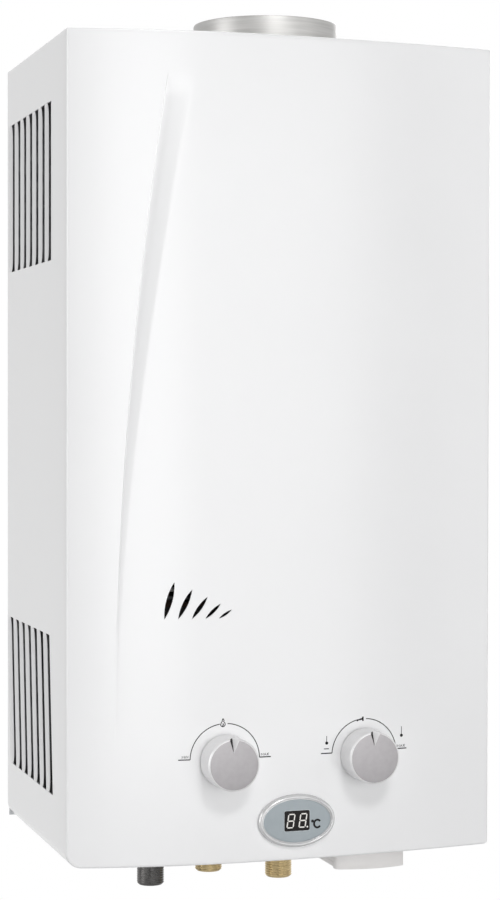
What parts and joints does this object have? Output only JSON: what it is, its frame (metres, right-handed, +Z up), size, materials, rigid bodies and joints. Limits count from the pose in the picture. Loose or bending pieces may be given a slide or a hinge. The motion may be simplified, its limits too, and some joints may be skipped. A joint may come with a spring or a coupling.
{
  "type": "tankless gas water heater",
  "caption": "Wall-hung tankless gas water heater with a bowed white cover, two knobs, a small digital display, side louvres and a flue collar on top",
  "frame": {"origin": "centre of the four wall holes, on the wall plane behind the back plate", "axes": "+X to the right seen from the front, +Y into the wall, +Z up"},
  "size_m": [0.315, 0.2516, 0.652],
  "materials": {
    "white_enamel": "smooth white enamel on pressed steel sheet",
    "galvanised_steel": "dull zinc-coated sheet",
    "screw_steel": "plated steel",
    "burner_steel": "stamped stainless sheet, heat-dulled",
    "copper": "bare copper sheet and tube",
    "brass": "machined brass",
    "cast_brass": "cast brass, matt",
    "cast_aluminium": "die-cast aluminium, matt",
    "dark_steel": "dark phosphated steel",
    "ceramic": "white glazed ceramic",
    "rubber": "black moulded rubber",
    "black_plastic": "black moulded plastic",
    "knob_silver": "satin silver-grey lacquered plastic",
    "warm_plastic": "light warm grey moulded plastic",
    "cell_can": "plain printed steel can without marks",
    "bezel_grey": "satin silver-grey moulded plastic",
    "panel_blue_grey": "pale blue-grey printed panel",
    "window_black": "black glossy window",
    "board_green": "green circuit board",
    "lead_white": "white silicone sleeve",
    "lead_dark": "dark insulated wire"
  },
  "bodies": {
    "heater": {"back_plate": "galvanised_steel", "support_brackets": "galvanised_steel", "front_cover": "white_enamel", "top_plate": "white_enamel", "bottom_plate": "white_enamel", "cover_screws": "screw_steel", "flue_collar": "galvanised_steel", "draft_hood": "galvanised_steel", "spill_thermostat": "black_plastic", "heat_body": "copper", "exchanger_fins": "copper", "exchanger_tubes": "copper", "jacket_coil": "copper", "hot_pipe": "copper", "cold_pipe": "copper", "pipe_nuts": "brass", "overheat_thermostat": "black_plastic", "burner_tray": "galvanised_steel", "burner_bars": "burner_steel", "gas_manifold": "cast_aluminium", "gas_jets": "brass", "gas_pipe": "cast_aluminium", "electrode_bracket": "galvanised_steel", "ignition_electrode": "ceramic", "flame_sensor": "ceramic", "gas_valve": "cast_aluminium", "solenoid": "black_plastic", "water_valve": "cast_brass", "water_valve_cover": "cast_brass", "diaphragm": "rubber", "valve_screws": "screw_steel", "microswitch": "black_plastic", "gas_nipple": "dark_steel", "hot_nipple": "brass", "cold_nipple": "brass", "nipple_nuts": "brass", "inlet_strainer": "screw_steel", "ignition_box": "black_plastic", "battery_box": "warm_plastic", "battery_cells": "cell_can", "battery_contacts": "screw_steel", "display_bezel": "bezel_grey", "display_face": "panel_blue_grey", "display_window": "window_black", "display_board": "board_green", "ignition_lead": "lead_white", "sensor_lead": "lead_dark", "solenoid_lead": "lead_dark", "switch_lead": "lead_dark", "battery_lead": "lead_dark", "display_lead": "lead_dark"},
    "gas_control": {"gas_knob": "knob_silver", "gas_spindle": "brass"},
    "water_control": {"water_knob": "knob_silver", "water_spindle": "brass"},
    "door": {"battery_door": "warm_plastic"},
    "rod": {"push_rod": "brass"},
    "lever": {"switch_lever": "screw_steel"}
  },
  "joints": [
    {"name": "gas_knob_turn", "type": "hinge", "parent": "heater", "child": "gas_control", "pos_m": [-0.0475, -0.231, -0.2175], "axis": [0, 1, 0], "range_deg": [-90, 90]},
    {"name": "water_knob_turn", "type": "hinge", "parent": "heater", "child": "water_control", "pos_m": [0.0565, -0.229, -0.2175], "axis": [0, 1, 0], "range_deg": [-90, 90]},
    {"name": "battery_door_swing", "type": "hinge", "parent": "heater", "child": "door", "pos_m": [0.0733, -0.126, -0.3049], "axis": [1, 0, 0], "range_deg": [0, 95]},
    {"name": "push_rod_slide", "type": "slide", "parent": "heater", "child": "rod", "axis": [-1, 0, 0], "range_m": [0, 0.004], "stiffness_N_per_m": 1000},
    {"name": "switch_lever_swing", "type": "hinge", "parent": "heater", "child": "lever", "pos_m": [0.008, -0.095, -0.2], "axis": [0, 1, 0], "range_deg": [0, 20.5]}
  ],
  "couplings": [
    {"joint": "switch_lever_swing", "follows": "push_rod_slide", "rad_per_m": 89.4}
  ]
}
